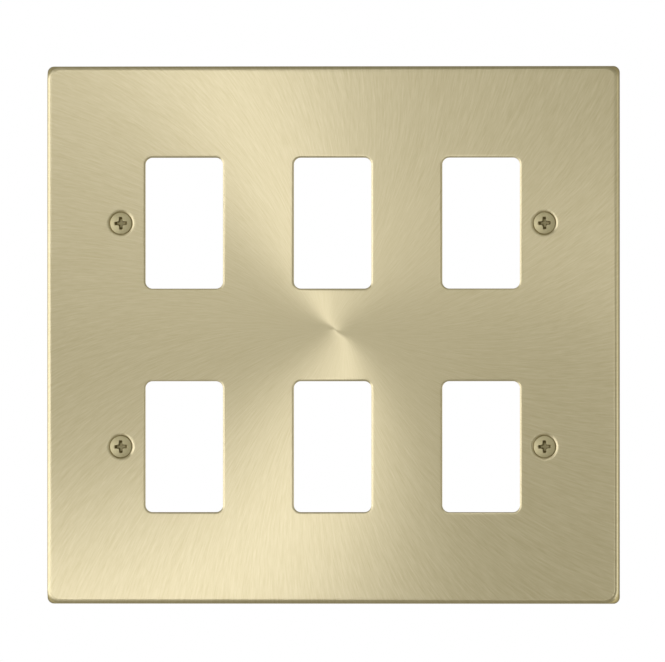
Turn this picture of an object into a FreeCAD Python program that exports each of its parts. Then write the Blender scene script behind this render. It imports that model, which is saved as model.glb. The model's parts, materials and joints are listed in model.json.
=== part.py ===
import FreeCAD, Part
import math
import os

# Grid switch plate: one pressed brass sheet with a rolled edge and a short skirt, punched for
# six switch modules, and held by four countersunk screws that sit in dimpled holes.
# Millimetres. X runs across the plate, Z up it, and Y back into the wall. The origin is the
# middle of the plate on the wall plane, so the face looks along -Y.

# plate
plate_width = 163.0  # at the rim
plate_height = 152.8  # at the rim
plate_depth = 4.5  # wall to face
sheet = 1.0  # brass thickness
skirt_draft = 0.25  # how far each side leans in from the rim to the face
edge_roll = 1.1  # outside radius of the bend between face and skirt
face_corner = 3.8  # plan radius of the corners at the face, before its edge is rolled
rim_corner = 1.8  # plan radius of the corners at the back rim

# module apertures
columns = 3
rows = 2
column_pitch = 42.25
row_pitch = 63.5
aperture_width = 22.1
aperture_height = 37.2
aperture_corner = 2.0
lip_break = 0.45  # front lip of each aperture, drawn in by the punch and eased by polishing

# screw places: level with the middle of each row, one column of screws at each end
fixing_centres = 120.6

# dimpled screw holes
dimple_mouth = 8.2  # diameter at which the flat face begins to bend in
dimple_bend = 1.2  # front radius of that bend
seat_angle = 90.0  # included angle of the countersink
hole_clearance = 0.4  # on the diameter, round the screw

# countersunk screws with raised heads
screw_diameter = 3.5
screw_length = 25.0  # from the edge of the head to the tip
neck_diameter = 3.05  # plain wire between the head and the thread
neck_length = 1.5
head_diameter = 6.2
head_edge = 0.18  # straight edge of the head, between its cone and its dome
head_rise = 0.5  # height of the dome above that edge
seat_gap = 0.05  # between the head's cone and the dimple
tip_chamfer = 0.4

# cross recess in each head
recess_span = 3.7
recess_arm = 0.95
recess_depth = 1.9  # below the top of the dome
recess_foot_span = 1.5
recess_foot_arm = 0.6
recess_core = 2.2  # diameter of the round core at the mouth
recess_core_foot = 0.9
recess_turn = 2.0  # degrees that the cross leans to the left

slope = math.radians(90.0 - seat_angle / 2.0)  # of the dimple's cone, from the face
face_y = -plate_depth
punch_travel = 3.0 * sheet  # from one sheet in front of the face to one behind it
close = 0.01  # how far an edge may lie from where it is looked for


def vector(x, y, z):
    return FreeCAD.Vector(x, y, z)


def rounded_outline(width, height, corner, y):
    """A rounded rectangle, upright in the plane at y, as one closed wire."""
    half_w = width / 2.0
    half_h = height / 2.0
    diagonal = corner * (1.0 - math.sqrt(0.5))
    edges = []
    for sx, sz in ((1, 1), (-1, 1), (-1, -1), (1, -1)):
        on_side = vector(sx * half_w, y, sz * (half_h - corner))
        on_top = vector(sx * (half_w - corner), y, sz * half_h)
        middle = vector(sx * (half_w - diagonal), y, sz * (half_h - diagonal))
        ends = (on_side, on_top) if sx * sz > 0 else (on_top, on_side)
        if edges:
            edges.append(Part.makeLine(last, ends[0]))
        else:
            first = ends[0]
        edges.append(Part.Arc(ends[0], middle, ends[1]).toShape())
        last = ends[1]
    edges.append(Part.makeLine(last, first))
    return Part.Wire(edges)


def edges_on_face(shape, y, half_w, half_h, x=0.0, z=0.0):
    """Edges that lie in the plane at y, inside a rectangle about (x, z)."""
    found = []
    for edge in shape.Edges:
        box = edge.BoundBox
        level = max(abs(box.YMin - y), abs(box.YMax - y)) < close
        across = max(abs(box.XMin - x), abs(box.XMax - x)) < half_w + close
        upright = max(abs(box.ZMin - z), abs(box.ZMax - z)) < half_h + close
        if level and across and upright:
            found.append(edge)
    return found


def pan(inset):
    """A shallow block on the wall plane, smaller than the plate by the inset on every side but
    the back. Its sides lean in a little, and its corners ease from a tight one at the rim to a
    wider one at the face."""
    width = plate_width - 2.0 * inset
    height = plate_height - 2.0 * inset
    lean = 2.0 * skirt_draft * (plate_depth - inset) / plate_depth
    back = rounded_outline(width, height, rim_corner - inset, 0.0)
    front = rounded_outline(width - lean, height - lean, face_corner - inset, face_y + inset)
    return Part.makeLoft([back, front], True, True)


def pressed_sheet():
    """The drawn tray: a pan with its front edge rolled over, less one that is a sheet smaller.
    The bend inside is too tight to show, so it is a plain corner."""
    outer = pan(0.0)
    front_edges = edges_on_face(outer, face_y, plate_width / 2.0, plate_height / 2.0)
    return outer.makeFillet(edge_roll, front_edges).cut(pan(sheet))


def aperture_places():
    places = []
    for row in range(rows):
        for column in range(columns):
            x = (column - (columns - 1) / 2.0) * column_pitch
            z = (row - (rows - 1) / 2.0) * row_pitch
            places.append((x, z))
    return places


def screw_places():
    places = []
    for row in range(rows):
        for side in (-0.5, 0.5):
            z = (row - (rows - 1) / 2.0) * row_pitch
            places.append((side * fixing_centres, z))
    return places


def punch_apertures(plate):
    """Six openings with rounded corners, and the lip that the punch draws down round each."""
    outline = rounded_outline(aperture_width, aperture_height, aperture_corner, face_y - sheet)
    punch = Part.Face(outline).extrude(vector(0, punch_travel, 0))
    for x, z in aperture_places():
        plate = plate.cut(punch.translated(vector(x, 0, z)))
    lips = []
    for x, z in aperture_places():
        lips += edges_on_face(plate, face_y, aperture_width / 2.0, aperture_height / 2.0, x, z)
    return plate.makeChamfer(lip_break, lips)


def lines_through(points):
    return [Part.makeLine(start, end) for start, end in zip(points, points[1:])]


def turned(profile):
    """Revolves a closed profile of lines and arcs about the Y axis."""
    return Part.Face(Part.Wire(profile)).revolve(vector(0, 0, 0), vector(0, 1, 0), 360.0)


def along_bend(angle):
    """A point on the front of the dimple's bend, where the face has turned in by the angle."""
    out = dimple_mouth / 2.0 - dimple_bend * math.sin(angle)
    return vector(out, face_y + dimple_bend * (1.0 - math.cos(angle)), 0)


def dimple():
    """The ring of sheet round a screw hole, bent back into a cone of even thickness."""
    hole = (screw_diameter + hole_clearance) / 2.0
    back_y = face_y + sheet
    front_flat = along_bend(0.0)
    front_end = along_bend(slope)
    lip_front = vector(hole, front_end.y + (front_end.x - hole) * math.tan(slope), 0)
    lip_back = lip_front + vector(sheet * math.sin(slope), sheet * math.cos(slope), 0)
    back_corner = vector(lip_back.x + (lip_back.y - back_y) / math.tan(slope), back_y, 0)
    corners = [front_end, lip_front, lip_back, back_corner, vector(front_flat.x, back_y, 0), front_flat]
    bend = Part.Arc(front_flat, along_bend(slope / 2.0), front_end).toShape()
    return turned([bend] + lines_through(corners))


def dimple_holes(plate):
    ring = dimple()
    start = vector(0, face_y - sheet, 0)
    blank = Part.makeCylinder(dimple_mouth / 2.0, punch_travel, start, vector(0, 1, 0))
    for x, z in screw_places():
        place = vector(x, 0, z)
        plate = plate.cut(blank.translated(place)).fuse(ring.translated(place))
    return plate


def rectangle(width, height, y):
    corners = []
    for sx, sz in ((1, 1), (-1, 1), (-1, -1), (1, -1), (1, 1)):
        corners.append(vector(sx * width / 2.0, y, sz * height / 2.0))
    return Part.makePolygon(corners)


def cross_recess(top):
    """The driver recess: two tapered slots across each other with a round tapered core."""
    foot = top + recess_depth
    slots = []
    for turn in (0.0, 90.0):
        mouth = rectangle(recess_span, recess_arm, top)
        bottom = rectangle(recess_foot_span, recess_foot_arm, foot)
        slot = Part.makeLoft([mouth, bottom], True, True)
        slot.rotate(vector(0, 0, 0), vector(0, 1, 0), turn - recess_turn)
        slots.append(slot)
    core = Part.makeCone(
        recess_core / 2.0, recess_core_foot / 2.0, recess_depth, vector(0, top, 0), vector(0, 1, 0)
    )
    return slots[0].fuse([slots[1], core])


def screw():
    """One screw on the Y axis, its cone seated in the dimple."""
    head = head_diameter / 2.0
    neck = neck_diameter / 2.0
    thread = screw_diameter / 2.0
    seat = along_bend(slope) - vector(math.sin(slope), math.cos(slope), 0) * seat_gap
    cone_start = seat.y + (seat.x - head) * math.tan(slope)
    cone_end = cone_start + (head - neck) * math.tan(slope)
    edge_start = cone_start - head_edge
    top = edge_start - head_rise
    thread_start = cone_end + neck_length
    tip = edge_start + screw_length
    dome_radius = (head**2 + head_rise**2) / (2.0 * head_rise)
    sweep = math.asin(head / dome_radius) / 2.0
    middle = vector(
        dome_radius * math.sin(sweep), top + dome_radius * (1.0 - math.cos(sweep)), 0
    )
    corners = [
        vector(head, edge_start, 0),
        vector(head, cone_start, 0),
        vector(neck, cone_end, 0),
        vector(neck, thread_start, 0),
        vector(thread, thread_start + thread - neck, 0),
        vector(thread, tip - tip_chamfer, 0),
        vector(thread - tip_chamfer, tip, 0),
        vector(0, tip, 0),
        vector(0, top, 0),
    ]
    dome = Part.Arc(corners[-1], middle, corners[0]).toShape()
    return turned([dome] + lines_through(corners)).cut(cross_recess(top))


def screws():
    one = screw()
    return Part.makeCompound([one.translated(vector(x, 0, z)) for x, z in screw_places()])


def save(shape, name):
    print(name, "solids", len(shape.Solids), "valid", shape.isValid(), "mm3", round(shape.Volume, 1))
    shape.exportStep(os.path.join("parts", name + ".step"))


os.makedirs("parts", exist_ok=True)
front_plate = dimple_holes(punch_apertures(pressed_sheet()))
save(front_plate, "front_plate")
save(screws(), "fixing_screws")
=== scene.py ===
import json
import math

import bmesh
import bpy
import numpy as np
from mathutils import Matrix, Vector, geometry


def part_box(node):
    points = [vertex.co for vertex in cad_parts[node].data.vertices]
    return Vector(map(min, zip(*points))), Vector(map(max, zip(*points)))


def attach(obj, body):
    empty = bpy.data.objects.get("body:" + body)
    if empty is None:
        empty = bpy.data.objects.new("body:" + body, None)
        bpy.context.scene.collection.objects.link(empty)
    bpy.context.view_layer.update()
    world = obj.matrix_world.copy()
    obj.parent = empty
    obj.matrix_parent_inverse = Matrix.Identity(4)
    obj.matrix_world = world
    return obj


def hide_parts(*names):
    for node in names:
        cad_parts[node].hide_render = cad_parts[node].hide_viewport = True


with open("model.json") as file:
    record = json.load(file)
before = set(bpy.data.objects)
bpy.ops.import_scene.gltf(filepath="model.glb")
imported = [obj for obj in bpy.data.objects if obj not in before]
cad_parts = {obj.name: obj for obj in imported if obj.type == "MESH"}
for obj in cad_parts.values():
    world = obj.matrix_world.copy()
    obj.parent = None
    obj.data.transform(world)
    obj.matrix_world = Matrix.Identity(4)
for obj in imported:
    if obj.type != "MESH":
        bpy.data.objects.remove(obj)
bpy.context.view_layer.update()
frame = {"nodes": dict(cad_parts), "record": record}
record = frame["record"]
mm = 0.001
quarterTurn = math.pi / 2
print("frame loaded:", ", ".join(sorted(frame["nodes"])))


# Places that the frame gives, in millimetres
plateLow, plateHigh = [np.array(corner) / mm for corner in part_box("front_plate")]
plateWidth, plateDepth, plateHeight = plateHigh - plateLow
apertureCentres = [
    (np.array(opening["box_m"][0]) + np.array(opening["box_m"][1])) / 2 / mm
    for opening in record["physics"]["openings"]
]
screwPattern = next(mount for mount in record["mounts"] if mount["kind"] == "bolt_pattern")["dims"]
screwCentres = [
    np.array([sideX * screwPattern["spacing_x_mm"] / 2, 0, sideZ * screwPattern["spacing_y_mm"] / 2])
    for sideX in (-1, 1)
    for sideZ in (-1, 1)
]


# Mesh building: closed rows of points make grids, and grids share points with the flats

def startMesh():
    return {"points": [], "faces": [], "count": 0}


def addRows(build, rows):
    # takes a grid of closed rows and gives back the numbers of its points; each cell between
    # two rows is a quad, and the last cell of a row joins its first
    levels, around = rows.shape[:2]
    numbers = np.arange(levels * around).reshape(levels, around) + build["count"]
    nextOne = np.roll(numbers, -1, axis=1)
    cells = np.stack([numbers[:-1], nextOne[:-1], nextOne[1:], numbers[1:]], -1)
    build["points"].append(rows.reshape(-1, 3))
    build["faces"] += cells.reshape(-1, 4).tolist()
    build["count"] += levels * around
    return numbers


def addFlat(build, loops):
    # fills between an outer loop and its holes, on points that the grids already made
    points = np.concatenate(build["points"])
    outlines = [[Vector((p[0], p[2], 0)) for p in points[loop]] for loop in loops]
    numbers = np.concatenate(loops)
    triangles = geometry.tessellate_polygon(outlines)
    build["faces"] += numbers[np.array(triangles)].tolist()


def addCap(build, row, point):
    # closes a row with a fan of triangles round one point
    nextOne = np.roll(row, -1)
    tip = np.full_like(row, build["count"])
    build["points"].append(np.array(point, float).reshape(1, 3))
    build["faces"] += np.stack([row, nextOne, tip], -1).tolist()
    build["count"] += 1


def joinRows(build, fine, coarse):
    # joins a row to one with fewer points: each coarse point takes the fine edges nearest it
    ratio = len(fine) // len(coarse)
    fineNext = np.roll(fine, -1)
    near = ((np.arange(len(fine)) + ratio // 2) // ratio) % len(coarse)
    coarseNext = np.roll(coarse, -1)
    turnPoint = fine[np.arange(len(coarse)) * ratio + ratio - ratio // 2]
    build["faces"] += np.stack([fine, fineNext, coarse[near]], -1).tolist()
    build["faces"] += np.stack([coarse, turnPoint, coarseNext], -1).tolist()


def finishMesh(build, name, sharpAngle):
    mesh = bpy.data.meshes.new(name)
    mesh.from_pydata((np.concatenate(build["points"]) * mm).tolist(), [], build["faces"])
    work = bmesh.new()
    work.from_mesh(mesh)
    bmesh.ops.recalc_face_normals(work, faces=work.faces)
    openEdges = sum(1 for edge in work.edges if len(edge.link_faces) != 2)
    work.to_mesh(mesh)
    work.free()
    mesh.shade_smooth()
    mesh.set_sharp_from_angle(angle=math.radians(sharpAngle))
    piece = bpy.data.objects.new(name, mesh)
    bpy.context.scene.collection.objects.link(piece)
    print("  ", name, len(mesh.polygons), "faces,", openEdges, "open edges")
    return piece


def roundedRows(halfWidth, halfHeight, corner, depth, cornerSteps):
    # a point is the centre of its corner, plus the corner's radius along a direction that turns a
    # quarter round each corner; one row for each entry of the four arrays
    turn = np.linspace(0, quarterTurn, cornerSteps + 1)
    angle = (turn[None, :] + np.arange(4)[:, None] * quarterTurn).ravel()
    sideX = np.repeat([1, -1, -1, 1], cornerSteps + 1)
    sideZ = np.repeat([1, 1, -1, -1], cornerSteps + 1)
    x = sideX * (halfWidth - corner)[:, None] + corner[:, None] * np.cos(angle)
    z = sideZ * (halfHeight - corner)[:, None] + corner[:, None] * np.sin(angle)
    return np.stack([x, np.broadcast_to(depth[:, None], x.shape), z], -1)


def circleRows(radius, depth, around):
    # a point is the radius times a direction that turns once round; one row for each radius
    angle = np.arange(around) * 4 * quarterTurn / around
    x = radius[:, None] * np.cos(angle)
    z = radius[:, None] * np.sin(angle)
    return np.stack([x, np.broadcast_to(depth[:, None], x.shape), z], -1)


def bend(centre, radius, start, end, steps):
    # points of an arc in a profile: across runs outwards, depth runs back; angles in degrees
    angle = np.radians(np.linspace(start, end, steps + 1))
    return np.stack([centre[0] + radius[0] * np.cos(angle), centre[1] + radius[1] * np.sin(angle)], -1)


# Front plate: the pressed sheet, as profiles carried round its edge, apertures and dimples
plateForm = {
    "sheet": 1.0,
    "skirtDraft": 0.25,
    "edgeRoll": 1.1,
    "faceCorner": 3.8,
    "rimCorner": 1.8,
    "rimRound": 0.15,
    "apertureWidth": 22.1,
    "apertureHeight": 37.2,
    "apertureCorner": 2.0,
    "lipWidth": 0.6,
    "lipTilt": 50.0,
    "burrRound": 0.08,
    "dimpleMouth": 8.2,
    "dimpleBend": 1.2,
    "dimpleSlope": 45.0,
    "holeDiameter": 3.9,
    "holeRound": 0.12,
    "holeEase": 0.4,  # share of that round by which the lip's front stands back
    "flatRing": 0.4,
    "cornerSteps": 16,
    "apertureSteps": 12,
    "dimpleSteps": 96,
    "bendSteps": 12,
    "smallSteps": 3,
    "burrSteps": 2,
    "sharpAngle": 50,
}


def edgeProfile(form):
    # inset from the outer wall and depth, from the face, round the roll, down the skirt, across
    # the rim and back up inside to the underside of the face
    face = -plateDepth
    roll = form["edgeRoll"]
    inside = roll - form["sheet"]
    rim = form["rimRound"]
    sheet = form["sheet"]
    steps = form["bendSteps"]
    few = form["smallSteps"]
    return np.concatenate([
        [(roll + form["flatRing"], face)],
        bend((roll, face + roll), (roll, roll), -90, -180, steps),
        bend((rim, -rim), (rim, rim), 180, 90, few),
        bend((sheet - rim, -rim), (rim, rim), 90, 0, few),
        bend((roll, face + roll), (inside, inside), -180, -90, steps // 2),
        [(roll + form["flatRing"], face + sheet)],
    ])


def lipProfile(form):
    # outset from the opening and depth, from the face over the drawn lip, which turns in by its
    # tilt before the straight wall, and round the burr to the back
    face = -plateDepth
    wide = form["lipWidth"]
    roll = wide / math.sin(math.radians(form["lipTilt"]))
    burr = form["burrRound"]
    back = face + form["sheet"]
    return np.concatenate([
        [(wide + form["flatRing"], face)],
        bend((wide, face + roll), (roll, roll), -90, -90 - form["lipTilt"], form["bendSteps"]),
        bend((burr, back - burr), (burr, burr), 180, 90, form["burrSteps"]),
        [(wide + form["flatRing"], back)],
    ])


def dimpleProfile(form):
    # radius from the screw's axis and depth, from the face down the bend and cone to the hole,
    # round its lip, and out along the back of the cone
    face = -plateDepth
    slope = form["dimpleSlope"]
    mouth = form["dimpleMouth"] / 2
    hole = form["holeDiameter"] / 2
    sheet = form["sheet"]
    lip = form["holeRound"]
    outer = form["dimpleBend"]
    inner = outer - sheet
    middle = (mouth, face + outer)
    front = bend(middle, (outer, outer), -90, -90 - slope, form["bendSteps"])
    back = bend(middle, (inner, inner), -90 - slope, -90, form["smallSteps"])
    down = np.array([-math.cos(math.radians(slope)), math.sin(math.radians(slope))])
    through = np.array([math.sin(math.radians(slope)), math.cos(math.radians(slope))])
    corner = front[-1] + down * (front[-1][0] - hole) / -down[0]
    return np.concatenate([
        [(mouth + form["flatRing"], face)],
        front,
        [corner - down * lip, corner + through * lip * form["holeEase"]],
        [corner + through * (sheet - lip), corner + through * sheet - down * lip],
        back,
        [(mouth + form["flatRing"], face + sheet)],
    ])


def makePlate(form):
    build = startMesh()
    inset, depth = edgeProfile(form).T
    height = -depth / plateDepth  # 0 at the wall, 1 at the face
    eased = form["rimCorner"] + (form["faceCorner"] - form["rimCorner"]) * height
    drawnIn = inset + form["skirtDraft"] * height
    edge = addRows(build, roundedRows(
        plateWidth / 2 - drawnIn, plateHeight / 2 - drawnIn, eased - inset, depth, form["cornerSteps"]
    ))
    frontLoops = [edge[0]]
    backLoops = [edge[-1]]

    outset, depth = lipProfile(form).T
    lip = roundedRows(
        form["apertureWidth"] / 2 + outset, form["apertureHeight"] / 2 + outset,
        form["apertureCorner"] + outset, depth, form["apertureSteps"]
    )
    radius, depth = dimpleProfile(form).T
    dimple = circleRows(radius, depth, form["dimpleSteps"])
    holes = [(lip, centre) for centre in apertureCentres] + [(dimple, centre) for centre in screwCentres]
    for rows, centre in holes:
        numbers = addRows(build, rows + centre * [1, 0, 1])
        frontLoops.append(numbers[0])
        backLoops.append(numbers[-1])
    addFlat(build, frontLoops)
    addFlat(build, backLoops)
    return finishMesh(build, "front_plate_pressed", form["sharpAngle"])


# Screws: a raised countersunk head with a cross recess, a plain neck and a rolled thread
screwForm = {
    "headDiameter": 6.2,
    "headRise": 0.5,
    "headEdge": 0.18,
    "headTop": 0.248,
    "edgeRound": 0.07,
    "neckDiameter": 3.05,
    "neckLength": 1.5,
    "threadDiameter": 3.5,
    "threadRoot": 2.86,
    "threadPitch": 0.6,
    "screwLength": 25.0,
    "tipChamfer": 0.4,
    "recessSpan": 3.75,
    "recessArm": 1.0,
    "recessCore": 1.75,
    "recessDepth": 1.9,
    "footSpan": 2.3,
    "footArm": 0.7,
    "footCore": 0.9,
    "mouthRound": 0.06,
    "lean": 2.0,
    "footDip": 0.1,
    "coneEase": 0.1,
    "ridgeTop": 1.25,
    "ridgeSlope": 3.0,
    "cornerPower": 9.0,
    "headSteps": 192,
    "wallRows": 8,
    "mouthRows": 5,
    "domeRows": 10,
    "edgeSteps": 3,
    "threadSteps": 32,
    "rowsPerTurn": 8,
    "sharpAngle": 35,
}


def crossRadius(angle, span, arm, core, power):
    # distance from the axis to the recess's wall: the arm's end or side, whichever is nearer,
    # but never inside the round core; both choices are eased, so that no corner is sharp
    along = np.maximum(np.abs(np.cos(angle)), np.abs(np.sin(angle)))
    across = np.minimum(np.abs(np.cos(angle)), np.abs(np.sin(angle))) + 1e-6
    ends = span / 2 / along
    sides = arm / 2 / across
    slot = (ends**-power + sides**-power) ** (-1 / power)
    return (slot**power + (core / 2) ** power) ** (1 / power)


def headRows(form, top):
    # rows from the foot of the recess, up its tapered walls, over its mouth and across the dome
    angle = np.arange(form["headSteps"]) * 4 * quarterTurn / form["headSteps"]
    turned = angle - math.radians(form["lean"])
    head = form["headDiameter"] / 2
    domeRadius = (head**2 + form["headRise"] ** 2) / (2 * form["headRise"])

    def domeDepth(radius):
        return top + domeRadius - np.sqrt(domeRadius**2 - radius**2)

    rows = []
    for sunk in np.linspace(1, 0, form["wallRows"] + 1)[:-1]:
        wall = crossRadius(
            turned,
            form["recessSpan"] + (form["footSpan"] - form["recessSpan"]) * sunk,
            form["recessArm"] + (form["footArm"] - form["recessArm"]) * sunk,
            form["recessCore"] + (form["footCore"] - form["recessCore"]) * sunk,
            form["cornerPower"],
        )
        rows.append((wall, top + form["recessDepth"] * sunk + 0 * wall))
    mouth = crossRadius(
        turned, form["recessSpan"], form["recessArm"], form["recessCore"], form["cornerPower"]
    )
    ease = form["mouthRound"]
    for tilt in np.linspace(0, quarterTurn, form["mouthRows"]):
        radius = mouth + ease * (1 - math.cos(tilt))
        rows.append((radius, domeDepth(mouth + ease) + ease * (1 - math.sin(tilt))))
    rim = head - form["edgeRound"]
    for share in np.linspace(0, 1, form["domeRows"] + 1)[1:]:
        radius = (mouth + ease) + (rim - mouth - ease) * share
        rows.append((radius, domeDepth(radius)))
    return np.array([
        np.stack([radius * np.cos(angle), depth, radius * np.sin(angle)], -1) for radius, depth in rows
    ])


def threadRows(form, start, end):
    # the radius rises and falls once each pitch, shifted round by the angle so that the ridge
    # climbs as a helix: top less slope times the distance from mid pitch, kept between 0 and 1;
    # it grows out of the neck and dies at the tip's chamfer
    crest = form["threadDiameter"] / 2
    root = form["threadRoot"] / 2
    neck = form["neckDiameter"] / 2
    count = int((end - start) / form["threadPitch"] * form["rowsPerTurn"])
    depth = np.linspace(start, end, count + 1)[:, None]
    angle = (np.arange(form["threadSteps"]) * 4 * quarterTurn / form["threadSteps"])[None, :]
    phase = ((depth - start) / form["threadPitch"] - angle / (4 * quarterTurn)) % 1
    ridge = np.clip(form["ridgeTop"] - form["ridgeSlope"] * np.abs(phase - 0.5), 0, 1)
    radius = root + (crest - root) * ridge
    grow = np.clip((depth - start) / form["threadPitch"], 0, 1)
    radius = neck + (radius - neck) * grow
    radius = np.minimum(radius, crest - form["tipChamfer"] + (end - depth))
    return np.stack([radius * np.cos(angle), depth + 0 * angle, radius * np.sin(angle)], -1)


def makeScrews(form):
    build = startMesh()
    top = -plateDepth - form["headTop"]
    edge = top + form["headRise"]
    head = form["headDiameter"] / 2
    neck = form["neckDiameter"] / 2
    ease = form["edgeRound"]
    cut = form["coneEase"]
    coneStart = edge + form["headEdge"]
    coneEnd = coneStart + head - neck
    threadStart = coneEnd + form["neckLength"]
    side = np.concatenate([
        bend((head - ease, edge + ease), (ease, ease), -60, 0, form["edgeSteps"]),
        [(head, coneStart), (neck + cut, coneEnd - cut), (neck, coneEnd + cut)],
    ])
    headShape = headRows(form, top)
    sideShape = circleRows(side[:, 0], side[:, 1], form["headSteps"])
    shank = threadRows(form, threadStart, edge + form["screwLength"])
    for centre in screwCentres:
        across = centre * [1, 0, 1]
        upper = addRows(build, np.concatenate([headShape, sideShape]) + across)
        lower = addRows(build, shank + across)
        addCap(build, upper[0], headShape[0].mean(axis=0) + [0, form["footDip"], 0] + across)
        joinRows(build, upper[-1], lower[0])
        addCap(build, lower[-1], [across[0], shank[-1, 0, 1], across[2]])
    return finishMesh(build, "fixing_screws_turned", form["sharpAngle"])


# Materials

def put(tree, kind, sockets=None, **settings):
    node = tree.nodes.new(kind)
    for name, value in settings.items():
        setattr(node, name, value)
    for name, value in (sockets or {}).items():
        if isinstance(value, bpy.types.NodeSocket):
            tree.links.new(value, node.inputs[name])
        else:
            node.inputs[name].default_value = value
    return node


def calc(tree, operation, first, second=0.0):
    return put(tree, "ShaderNodeMath", {0: first, 1: second}, operation=operation).outputs[0]


def vectorOf(tree, x, y, z):
    return put(tree, "ShaderNodeCombineXYZ", {"X": x, "Y": y, "Z": z}).outputs[0]


def remap(tree, value, fromLow, fromHigh, toLow, toHigh):
    return put(
        tree, "ShaderNodeMapRange",
        {"Value": value, "From Min": fromLow, "From Max": fromHigh, "To Min": toLow, "To Max": toHigh},
    ).outputs[0]


def newMaterial(name):
    material = bpy.data.materials.new(name)
    material.use_nodes = True
    material.node_tree.nodes.clear()
    return material, material.node_tree


# Sunray brushing: every stroke is an arc of one radius that sets out close by the brushing centre
plateFinish = {
    "colour": (0.542, 0.470, 0.266, 1.0),
    "paleColour": (0.648, 0.574, 0.359, 1.0),
    "edgeTint": (0.85, 0.77, 0.55, 1.0),
    "roughness": 0.348,
    "roughnessSpread": 0.03,
    "anisotropy": 0.86,
    "brushCentre": (0.0009, 0.0014),
    "centreShift": (-0.0030, -0.0008),
    "shiftBand": 0.0022,
    "strokeRadius": 0.138,
    "strokeMiss": 0.0015,
    "fineStrokes": 210.0,
    "fineRun": 240.0,
    "fineDetail": 3.0,
    "fineShare": 0.65,
    "broadStrokes": 90.0,
    "broadRun": 80.0,
    "broadDetail": 2.0,
    "broadShare": 0.35,
    "strokeRoughness": 0.6,
    "colourRange": (0.3, 0.7),
    "roughnessRange": (0.25, 0.75),
    "bumpDistance": 0.00002,
    "bumpStrength": 0.15,
}


def strokeField(tree, finish):
    # place about the brushing centre, which moves by the shift times the hyperbolic tangent of
    # height over band, so it lies lower and further left for the strokes above it; a stroke's
    # tangent turns ahead of the ray by the arcsine of radius over the stroke's diameter, and by
    # the arctangent of the distance by which it misses the centre over the radius; the stroke
    # that passes through a point set out from the centre behind the ray by the first angle
    place = put(tree, "ShaderNodeTexCoord").outputs["Object"]
    split = put(tree, "ShaderNodeSeparateXYZ", {"Vector": place})
    x = calc(tree, "SUBTRACT", split.outputs["X"], finish["brushCentre"][0])
    z = calc(tree, "SUBTRACT", split.outputs["Z"], finish["brushCentre"][1])
    side = calc(tree, "TANH", calc(tree, "DIVIDE", z, finish["shiftBand"]))
    x = calc(tree, "SUBTRACT", x, calc(tree, "MULTIPLY", side, finish["centreShift"][0]))
    z = calc(tree, "SUBTRACT", z, calc(tree, "MULTIPLY", side, finish["centreShift"][1]))
    ray = put(tree, "ShaderNodeVectorMath", {0: vectorOf(tree, x, 0.0, z)}, operation="LENGTH")
    radius = ray.outputs["Value"]
    angle = calc(tree, "ARCTAN2", z, x)
    swirl = calc(tree, "ARCSINE", calc(tree, "DIVIDE", radius, 2 * finish["strokeRadius"]))
    missed = calc(tree, "ARCTAN2", finish["strokeMiss"], radius)
    ahead = calc(tree, "ADD", calc(tree, "ADD", angle, swirl), missed)
    behind = calc(tree, "SUBTRACT", angle, swirl)
    across = vectorOf(
        tree, calc(tree, "MULTIPLY", calc(tree, "SINE", ahead), -1.0), 0.0, calc(tree, "COSINE", ahead)
    )
    return radius, behind, across


def strokeNoise(tree, radius, behind, finish, kind):
    # noise that is drawn out along the strokes: its place is the stroke's first direction
    # times the number of strokes, and it changes slowly with the radius
    strokes = finish[kind + "Strokes"]
    place = vectorOf(
        tree,
        calc(tree, "MULTIPLY", calc(tree, "COSINE", behind), strokes),
        calc(tree, "MULTIPLY", radius, finish[kind + "Run"]),
        calc(tree, "MULTIPLY", calc(tree, "SINE", behind), strokes),
    )
    noise = put(tree, "ShaderNodeTexNoise", {
        "Vector": place,
        "Scale": 1.0,
        "Detail": finish[kind + "Detail"],
        "Roughness": finish["strokeRoughness"],
    })
    return noise.outputs["Fac"]


def blend(tree, factor, first, second):
    # the colour sockets of this node stand after its number and vector sockets
    return put(tree, "ShaderNodeMix", {0: factor, 6: first, 7: second}, data_type="RGBA").outputs[2]


def plateBrass(finish):
    material, tree = newMaterial("satin_brass_brushed")
    radius, behind, across = strokeField(tree, finish)
    fine = strokeNoise(tree, radius, behind, finish, "fine")
    broad = strokeNoise(tree, radius, behind, finish, "broad")
    both = calc(
        tree, "ADD",
        calc(tree, "MULTIPLY", fine, finish["fineShare"]),
        calc(tree, "MULTIPLY", broad, finish["broadShare"]),
    )
    low = finish["roughness"] - finish["roughnessSpread"]
    high = finish["roughness"] + finish["roughnessSpread"]
    bump = put(
        tree, "ShaderNodeBump",
        {"Height": both, "Strength": finish["bumpStrength"], "Distance": finish["bumpDistance"]},
    )
    shader = put(tree, "ShaderNodeBsdfPrincipled", {
        "Base Color": blend(
            tree, remap(tree, both, *finish["colourRange"], 0.0, 1.0),
            finish["colour"], finish["paleColour"],
        ),
        "Metallic": 1.0,
        "Specular Tint": finish["edgeTint"],
        "Roughness": remap(tree, both, *finish["roughnessRange"], low, high),
        "Anisotropic": finish["anisotropy"],
        "Tangent": across,
        "Normal": bump.outputs["Normal"],
    })
    put(tree, "ShaderNodeOutputMaterial", {"Surface": shader.outputs["BSDF"]})
    return material


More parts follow.
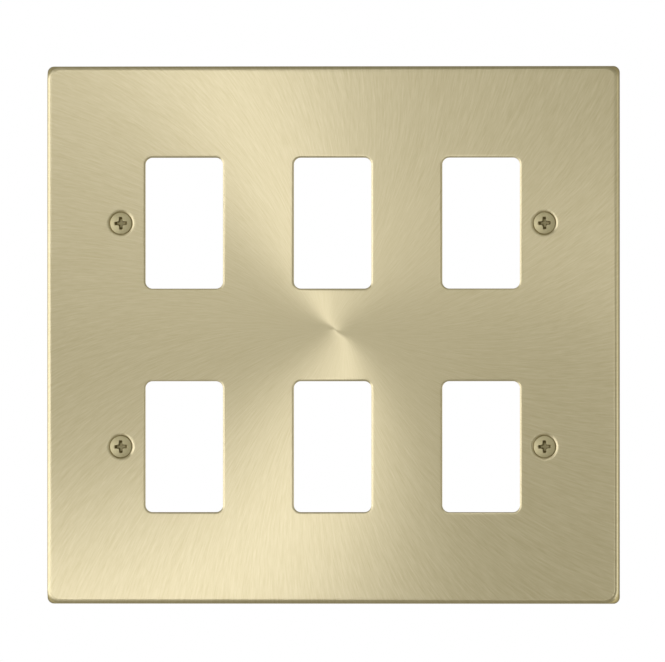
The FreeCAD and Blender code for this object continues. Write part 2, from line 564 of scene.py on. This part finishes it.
# Screws: plated, with a fine even grain, duller and a little deeper in colour than the plate, with painted
# shade inside the recess
screwFinish = {
    "colour": (0.450, 0.398, 0.218, 1.0),
    "paleColour": (0.490, 0.437, 0.252, 1.0),
    "edgeTint": (0.85, 0.77, 0.55, 1.0),
    "recessRadius": 0.0019,
    "recessFade": 1.03,
    "shadeStart": 0.1,  # millimetres below the top of the dome
    "shadeEnd": (0.15, 0.2),  # millimetres below the foot
    # painted shade: the recess colour is the plain colour times this share, blended in by depth
    "recessPaintedShade": 0.9,
    "recessRoughness": 0.08,
    "roughness": 0.52,
    "roughnessSpread": 0.03,
    "grain": 2600.0,
    "grainDetail": 3.0,
    "grainRoughness": 0.55,
    "colourRange": (0.35, 0.65),
    "roughnessRange": (0.3, 0.7),
    "bumpDistance": 0.00001,
    "bumpStrength": 0.1,
}


def paintedShadeAndRoughMask(tree, place, finish):
    # painted shade inside the recess, which the same mask also makes rougher: the mask grows in proportion
    # to the depth from just under the dome down to the foot, ends below it, and is 0 away from the screws'
    # axes
    split = put(tree, "ShaderNodeSeparateXYZ", {"Vector": place}).outputs
    x = calc(tree, "SUBTRACT", calc(tree, "ABSOLUTE", split["X"]), abs(screwCentres[0][0]) * mm)
    z = calc(tree, "SUBTRACT", calc(tree, "ABSOLUTE", split["Z"]), abs(screwCentres[0][2]) * mm)
    out = put(tree, "ShaderNodeVectorMath", {0: vectorOf(tree, x, 0.0, z)}, operation="LENGTH")
    edge = finish["recessRadius"]
    near = remap(tree, out.outputs["Value"], edge, edge * finish["recessFade"], 1.0, 0.0)
    top = -(plateDepth + screwForm["headTop"]) * mm
    foot = top + screwForm["recessDepth"] * mm
    sunk = remap(tree, split["Y"], top + finish["shadeStart"] * mm, foot, 0.0, 1.0)
    below = [foot + depth * mm for depth in finish["shadeEnd"]]
    above = remap(tree, split["Y"], *below, 1.0, 0.0)
    return calc(tree, "MULTIPLY", near, calc(tree, "MULTIPLY", sunk, above))


def screwBrass(finish):
    material, tree = newMaterial("satin_brass_plated")
    place = put(tree, "ShaderNodeTexCoord").outputs["Object"]
    noise = put(tree, "ShaderNodeTexNoise", {
        "Vector": place,
        "Scale": finish["grain"],
        "Detail": finish["grainDetail"],
        "Roughness": finish["grainRoughness"],
    }).outputs["Fac"]
    patchy = remap(tree, noise, *finish["colourRange"], 0.0, 1.0)
    colour = blend(tree, patchy, finish["colour"], finish["paleColour"])
    sunk = paintedShadeAndRoughMask(tree, place, finish)
    # painted shade: a darker copy of the colour, blended in deeper in the recess
    paintedShadeColour = [part * finish["recessPaintedShade"] for part in finish["colour"][:3]] + [1.0]
    colour = blend(tree, sunk, colour, paintedShadeColour)
    low = finish["roughness"] - finish["roughnessSpread"]
    high = finish["roughness"] + finish["roughnessSpread"]
    bump = put(
        tree, "ShaderNodeBump",
        {"Height": noise, "Strength": finish["bumpStrength"], "Distance": finish["bumpDistance"]},
    )
    shader = put(tree, "ShaderNodeBsdfPrincipled", {
        "Base Color": colour,
        "Metallic": 1.0,
        "Specular Tint": finish["edgeTint"],
        "Roughness": calc(
            tree, "ADD",
            remap(tree, noise, *finish["roughnessRange"], low, high),
            calc(tree, "MULTIPLY", sunk, finish["recessRoughness"]),
        ),
        "Normal": bump.outputs["Normal"],
    })
    put(tree, "ShaderNodeOutputMaterial", {"Surface": shader.outputs["BSDF"]})
    return material


def dress(piece, material, node):
    piece.data.materials.append(material)
    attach(piece, "root")
    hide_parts(node)


plate = makePlate(plateForm)
dress(plate, plateBrass(plateFinish), "front_plate")
print("plate made")
screws = makeScrews(screwForm)
dress(screws, screwBrass(screwFinish), "fixing_screws")
print("screws made")


# Studio: a round pale floor well below, and an even grey room with a near white backdrop behind
# the plate; small soft lamps in front, whose light fans out across the brushing, and a panel at
# each side for the rolled edge; a lamp stands at a distance, so many degrees to the right and
# up, and sends its light evenly
studio = {
    "floorDrop": 0.7,
    "floorRadius": 0.9,
    "floorSides": 96,
    "floorColour": (0.62, 0.60, 0.55, 1.0),  # as the brass mirrors it
    "floorPale": (0.92, 0.91, 0.89, 1.0),  # as the camera sees it
    "floorRoughness": 0.9,
    "roomLevel": 0.475,
    "backdropFrom": (-0.5, 0.2),
    "backdropTop": (0.15, 0.40),
    "shadeFrom": (0.80, 0.95),
    "shadeLevel": 0.36,
    "lampColour": (0.99, 1.0, 1.16),  # a little blue and the room a little yellow, for the tones
    "roomColour": (1.0, 1.0, 0.94, 1.0),
    "lamps": {
        "fan_lamp": {"right": -20.5, "up": -4.6, "distance": 0.90, "size": (0.114, 0.174), "level": 7.5},
        "right_lamp": {"right": 11.3, "up": -9.6, "distance": 1.03, "size": (0.132, 0.246), "level": 3.4},
        "glow_lamp": {"right": -7.1, "up": 0.9, "distance": 0.71, "size": (0.18, 0.12), "level": 1.5},
        "upper_lamp": {"right": 5.0, "up": 25.5, "distance": 0.86, "size": (0.60, 0.112), "level": 2.0},
        "left_panel": {"right": -64.0, "up": -5.0, "distance": 1.3, "size": (1.70, 1.4), "level": 1.7},
        "right_panel": {"right": 84.0, "up": -20.0, "distance": 0.30, "size": (0.12, 0.2), "level": 0.9},
    },
}


def makeFloor(room):
    mesh = bpy.data.meshes.new("floor")
    turn = np.arange(room["floorSides"]) * 4 * quarterTurn / room["floorSides"]
    ring = np.stack([np.cos(turn), np.sin(turn)], -1) * room["floorRadius"]
    points = np.column_stack([ring, np.full(len(turn), -room["floorDrop"])])
    mesh.from_pydata(points.tolist(), [], [tuple(range(len(turn)))])
    floor = bpy.data.objects.new("floor", mesh)
    bpy.context.scene.collection.objects.link(floor)
    material, tree = newMaterial("pale_floor")
    seen = put(tree, "ShaderNodeLightPath").outputs["Is Camera Ray"]
    colour = blend(tree, seen, room["floorColour"], room["floorPale"])
    shader = put(
        tree, "ShaderNodeBsdfPrincipled", {"Base Color": colour, "Roughness": room["floorRoughness"]}
    )
    put(tree, "ShaderNodeOutputMaterial", {"Surface": shader.outputs["BSDF"]})
    mesh.materials.append(material)


def makeLamps(room):
    # a flat lamp of even brightness sends out its level times its area times pi
    for name, lamp in room["lamps"].items():
        data = bpy.data.lights.new(name, "AREA")
        data.shape = "RECTANGLE"
        data.color = room["lampColour"]
        data.size, data.size_y = lamp["size"]
        data.energy = lamp["level"] * data.size * data.size_y * math.pi
        right = math.radians(lamp["right"])
        up = math.radians(lamp["up"])
        way = Vector((math.sin(right) * math.cos(up), -math.cos(right) * math.cos(up), math.sin(up)))
        light = bpy.data.objects.new(name, data)
        light.location = way * lamp["distance"]
        light.rotation_euler = (-way).to_track_quat("-Z", "Y").to_euler()
        light.visible_camera = False
        bpy.context.scene.collection.objects.link(light)


def makeWorld(room):
    # the camera sees plain white; metal sees a grey room in front and a near white backdrop
    # behind the plate, with shade above that backdrop and straight behind the plate
    world = bpy.data.worlds.new("studio")
    bpy.context.scene.world = world
    world.use_nodes = True
    tree = world.node_tree
    tree.nodes.clear()
    rays = put(tree, "ShaderNodeLightPath").outputs
    way = put(
        tree, "ShaderNodeSeparateXYZ", {"Vector": put(tree, "ShaderNodeTexCoord").outputs["Generated"]}
    ).outputs
    low = remap(tree, way["Z"], *room["backdropTop"], 1.0, 0.0)
    beside = remap(tree, way["Y"], *room["shadeFrom"], 1.0, 0.0)
    backdrop = remap(tree, calc(tree, "MULTIPLY", low, beside), 0.0, 1.0, room["shadeLevel"], 1.0)
    mirrored = calc(tree, "MAXIMUM", rays["Is Glossy Ray"], rays["Is Transmission Ray"])
    behind = calc(tree, "MULTIPLY", mirrored, remap(tree, way["Y"], *room["backdropFrom"], 0.0, 1.0))
    back = calc(tree, "MULTIPLY", behind, backdrop)
    front = calc(tree, "MULTIPLY", calc(tree, "SUBTRACT", 1.0, behind), room["roomLevel"])
    strength = calc(tree, "MAXIMUM", rays["Is Camera Ray"], calc(tree, "ADD", back, front))
    colour = blend(tree, rays["Is Camera Ray"], room["roomColour"], (1.0, 1.0, 1.0, 1.0))
    light = put(tree, "ShaderNodeBackground", {"Color": colour, "Strength": strength})
    put(tree, "ShaderNodeOutputWorld", {"Surface": light.outputs["Background"]})


# Camera: a long lens a little to the right of the plate's middle and almost level with it
cameraView = {
    "lens": 1143.4,
    "distance": 6.0,
    "rightward": 3.6,
    "below": 0.3,
    "aim": (0.0, -0.0045, 0.0011),
}


def makeCamera(view):
    data = bpy.data.cameras.new("camera")
    data.lens = view["lens"]
    data.clip_start = 0.1
    data.clip_end = 50.0
    camera = bpy.data.objects.new("camera", data)
    right = math.radians(view["rightward"])
    below = math.radians(view["below"])
    back = Vector((math.sin(right) * math.cos(below), -math.cos(right) * math.cos(below), -math.sin(below)))
    camera.location = Vector(view["aim"]) + back * view["distance"]
    camera.rotation_euler = (-back).to_track_quat("-Z", "Y").to_euler()
    bpy.context.scene.collection.objects.link(camera)
    bpy.context.scene.camera = camera


makeFloor(studio)
makeLamps(studio)
makeWorld(studio)
makeCamera(cameraView)
bpy.context.scene.view_settings.view_transform = "Standard"
print("studio made")
